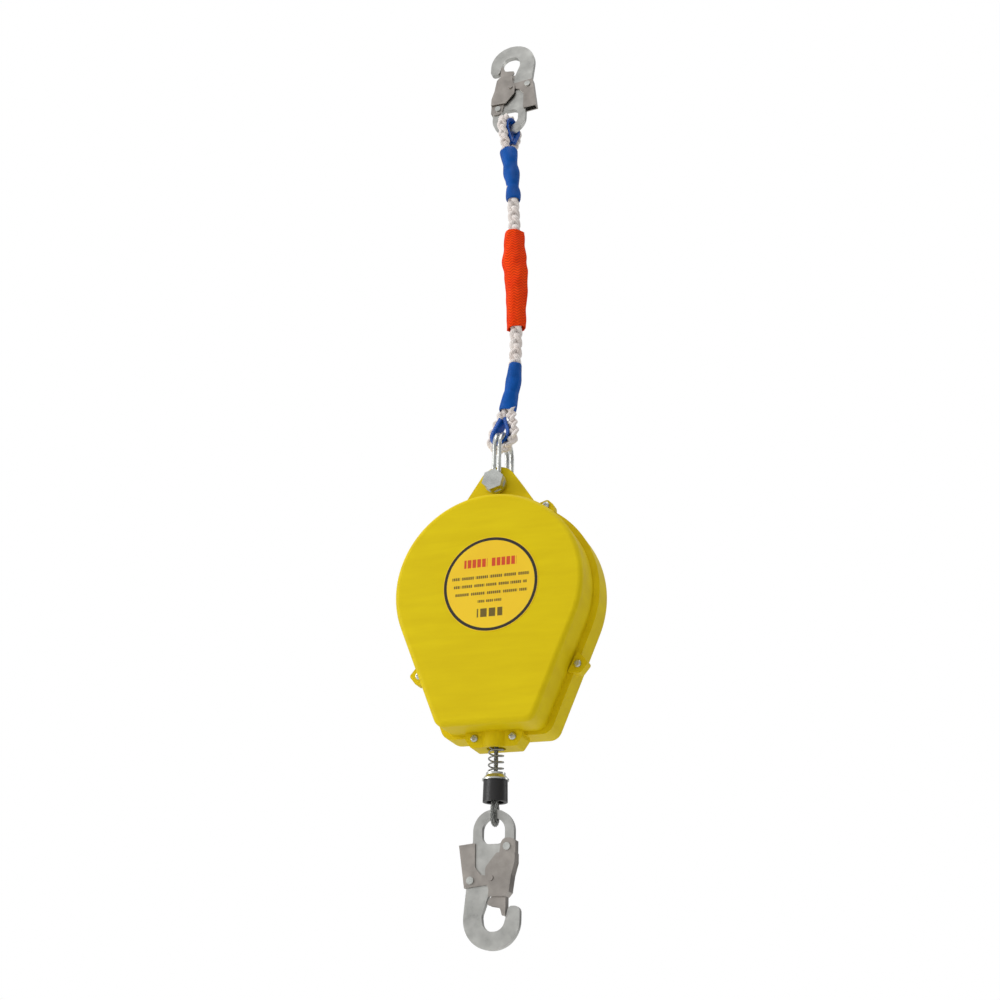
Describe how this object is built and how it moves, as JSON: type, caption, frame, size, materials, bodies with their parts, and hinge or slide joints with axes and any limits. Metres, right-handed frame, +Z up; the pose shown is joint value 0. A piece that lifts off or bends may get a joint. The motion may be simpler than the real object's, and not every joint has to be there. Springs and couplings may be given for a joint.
{
  "type": "self_retracting_lifeline",
  "caption": "Self retracting lifeline: yellow plastic case with a wire rope on a sprung drum, a rope sling with an anchor snap hook above, and a harness snap hook below",
  "frame": {"origin": "seat of the anchor hook's bowl, where the anchor bears, on the chain's middle plane", "axes": "+Z up, +X to the right as seen from the labelled front, +Y to the back"},
  "size_m": [0.214, 0.0773, 1.0742],
  "materials": {
    "zinc_steel": "satin",
    "dark_steel": "satin",
    "spring_steel": "polished",
    "yellow_shell": "smooth moulded",
    "label_print": "printed film",
    "rope": "braided",
    "sleeve_blue": "shrunk tube",
    "thimble_blue": "moulded",
    "webbing_orange": "tubular webbing",
    "rubber_black": "moulded",
    "cast_grey": "die cast",
    "brake_lining": "lining",
    "bronze": "turned",
    "nylon": "turned",
    "wire_cable": "stranded"
  },
  "bodies": {
    "anchor_hook": {"anchor_hook_plate": "zinc_steel", "anchor_hook_rivets": "zinc_steel", "anchor_gate_spring": "spring_steel", "anchor_lever_spring": "spring_steel"},
    "anchor_gate_body": {"anchor_gate": "dark_steel"},
    "anchor_lever_body": {"anchor_lock_lever": "dark_steel"},
    "sling": {"sling_rope": "rope", "upper_thimble": "thimble_blue", "lower_thimble": "thimble_blue", "upper_sleeve": "sleeve_blue", "lower_sleeve": "sleeve_blue"},
    "webbing": {"webbing_guard": "webbing_orange"},
    "shackle": {"shackle_link": "zinc_steel", "bolt_washers": "zinc_steel", "lug_bolt": "zinc_steel", "lug_nut": "zinc_steel"},
    "housing": {"front_shell": "yellow_shell", "rear_shell": "yellow_shell", "label_disc": "label_print", "housing_screws": "zinc_steel", "frame_plate_front": "zinc_steel", "frame_plate_rear": "zinc_steel", "frame_spacers": "zinc_steel", "frame_ties": "zinc_steel", "lug_bush": "bronze", "drum_shaft": "zinc_steel", "shaft_clips": "dark_steel", "spring_arbor": "zinc_steel", "brake_hub": "zinc_steel", "friction_discs": "brake_lining", "pressure_plate": "zinc_steel", "disc_spring": "spring_steel", "brake_nut": "zinc_steel", "roller_pin": "zinc_steel", "cable_run": "wire_cable", "cable_guide": "nylon", "cable_stretch": "wire_cable"},
    "drum": {"cable_drum": "cast_grey", "drum_bush": "bronze", "wound_cable": "wire_cable", "spring_cover": "cast_grey", "pawl_pins": "zinc_steel", "pawl_springs": "spring_steel", "power_spring": "spring_steel"},
    "pawl_upper_body": {"pawl_upper": "dark_steel"},
    "pawl_lower_body": {"pawl_lower": "dark_steel"},
    "ratchet": {"ratchet_wheel": "dark_steel"},
    "roller": {"guide_roller": "nylon"},
    "cable_end": {"cable_eye": "wire_cable", "ferrule": "wire_cable", "wire_thimble": "zinc_steel", "bumper": "rubber_black", "spring_cap": "zinc_steel", "buffer_spring": "spring_steel"},
    "harness_hook": {"harness_hook_plate": "zinc_steel", "harness_hook_rivets": "zinc_steel", "harness_gate_spring": "spring_steel", "harness_lever_spring": "spring_steel"},
    "harness_gate_body": {"harness_gate": "dark_steel"},
    "harness_lever_body": {"harness_lock_lever": "dark_steel"}
  },
  "joints": [
    {"name": "anchor_gate_swing", "type": "hinge", "parent": "anchor_hook", "child": "anchor_gate_body", "pos_m": [-0.01366, 0, -0.07746], "axis": [0, 1, 0], "range_deg": [0, 17], "stiffness_Nm_per_rad": 0.3, "springref_deg": -17.19, "deforming": ["anchor_gate_spring"]},
    {"name": "anchor_lever_squeeze", "type": "hinge", "parent": "anchor_hook", "child": "anchor_lever_body", "pos_m": [0.02362, 0, -0.04767], "axis": [0, 1, 0], "range_deg": [0, 11.95], "deforming": ["anchor_lever_spring"]},
    {"name": "sling_swing", "type": "hinge", "parent": "anchor_hook", "child": "sling", "pos_m": [0, 0, -0.09306], "axis": [0, 1, 0], "range_deg": [-20, 20]},
    {"name": "webbing_slide", "type": "slide", "parent": "sling", "child": "webbing", "axis": [0.029, 0, -0.9996], "range_m": [-0.03, 0.03]},
    {"name": "shackle_swing", "type": "hinge", "parent": "sling", "child": "shackle", "pos_m": [0, 0, -0.52266], "axis": [0, 1, 0], "range_deg": [-15, 15]},
    {"name": "housing_swing", "type": "hinge", "parent": "shackle", "child": "housing", "pos_m": [0, 0, -0.58716], "axis": [0, 1, 0], "range_deg": [-45, 45]},
    {"name": "drum_turn", "type": "hinge", "parent": "housing", "child": "drum", "pos_m": [0, 0, -0.70816], "axis": [0, -1, 0], "range_deg": [0, 720], "stiffness_Nm_per_rad": 0.05, "springref_deg": -1489.69},
    {"name": "pawl_upper_swing", "type": "hinge", "parent": "drum", "child": "pawl_upper_body", "pos_m": [0, 0, -0.66616], "axis": [0, -1, 0], "range_deg": [0, 8], "stiffness_Nm_per_rad": 0.05, "springref_deg": -11.46},
    {"name": "pawl_lower_swing", "type": "hinge", "parent": "drum", "child": "pawl_lower_body", "pos_m": [0, 0, -0.75016], "axis": [0, -1, 0], "range_deg": [0, 8], "stiffness_Nm_per_rad": 0.05, "springref_deg": -11.46},
    {"name": "brake_slip", "type": "hinge", "parent": "housing", "child": "ratchet", "pos_m": [0, 0, -0.70816], "axis": [0, -1, 0], "range_deg": [0, 60]},
    {"name": "roller_turn", "type": "hinge", "parent": "housing", "child": "roller", "pos_m": [-0.01425, 0, -0.83416], "axis": [0, 1, 0], "range_deg": [0, 4163.32]},
    {"name": "cable_payout", "type": "slide", "parent": "housing", "child": "cable_end", "axis": [0, 0, -1], "range_m": [0, 1.03471], "deforming": ["cable_stretch"]},
    {"name": "harness_hook_swing", "type": "hinge", "parent": "cable_end", "child": "harness_hook", "pos_m": [0, 0, -0.94766], "axis": [0, 1, 0], "range_deg": [-25, 25]},
    {"name": "harness_gate_swing", "type": "hinge", "parent": "harness_hook", "child": "harness_gate_body", "pos_m": [0.0142, 0, -0.96276], "axis": [0, 1, 0], "range_deg": [0, 17], "stiffness_Nm_per_rad": 0.3, "springref_deg": -17.19, "deforming": ["harness_gate_spring"]},
    {"name": "harness_lever_squeeze", "type": "hinge", "parent": "harness_hook", "child": "harness_lever_body", "pos_m": [-0.022, 0, -0.99386], "axis": [0, 1, 0], "range_deg": [0, 11.95], "deforming": ["harness_lever_spring"]}
  ],
  "couplings": [
    {"joint": "anchor_lever_squeeze", "follows": "anchor_gate_swing", "ratio": 0.7},
    {"joint": "harness_lever_squeeze", "follows": "harness_gate_swing", "ratio": 0.7},
    {"joint": "cable_payout", "follows": "drum_turn", "m_per_rad": 0.0823},
    {"joint": "roller_turn", "follows": "drum_turn", "ratio": 5.7754}
  ]
}
